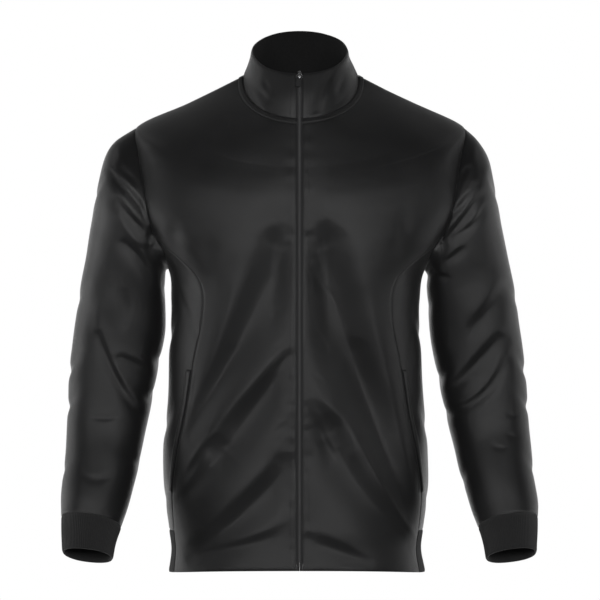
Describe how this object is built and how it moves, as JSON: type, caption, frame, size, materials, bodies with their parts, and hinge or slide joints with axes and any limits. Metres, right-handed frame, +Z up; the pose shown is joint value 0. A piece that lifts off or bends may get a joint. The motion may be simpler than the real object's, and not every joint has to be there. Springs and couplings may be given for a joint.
{
  "type": "zip-up sweatshirt",
  "caption": "Black satin-faced zip-up track jacket with a stand collar, set-in sleeves, rib cuffs, side panels with pocket mouths and a rib hem, worn closed.",
  "frame": {"origin": "on the centre line between neck and shoulders, at the height where the neck seam crosses the shoulder seams, which is where the wearer carries the jacket", "axes": "+Z up along the wearer's spine, -Y towards the front with the zip, +X towards the wearer's left"},
  "size_m": [0.6649, 0.2499, 0.7745],
  "materials": {
    "satin_knit": "satin-faced double knit",
    "rib_knit": "matte fine rib",
    "zip_tape": "woven tape with a nylon coil",
    "zip_silver": "polished zinc",
    "pull_plastic": "moulded, satin"
  },
  "bodies": {
    "garment": {"front_left": "satin_knit", "front_right": "satin_knit", "back": "satin_knit", "side_left": "satin_knit", "side_right": "satin_knit", "sleeve_left": "satin_knit", "sleeve_right": "satin_knit", "collar": "satin_knit", "pocket_welt_left": "satin_knit", "pocket_welt_right": "satin_knit", "cuff_left": "rib_knit", "cuff_right": "rib_knit", "hem_rib": "rib_knit", "zip_left": "zip_tape", "zip_right": "zip_tape", "zip_pin": "zip_silver", "zip_box": "zip_silver", "zip_slider": "zip_silver"},
    "pull": {"pull_tab": "pull_plastic"}
  },
  "joints": [
    {"name": "pull_hinge", "type": "hinge", "parent": "garment", "child": "pull", "pos_m": [0, -0.06793, -0.00526], "axis": [-1, 0, 0], "range_deg": [0, 150]}
  ]
}
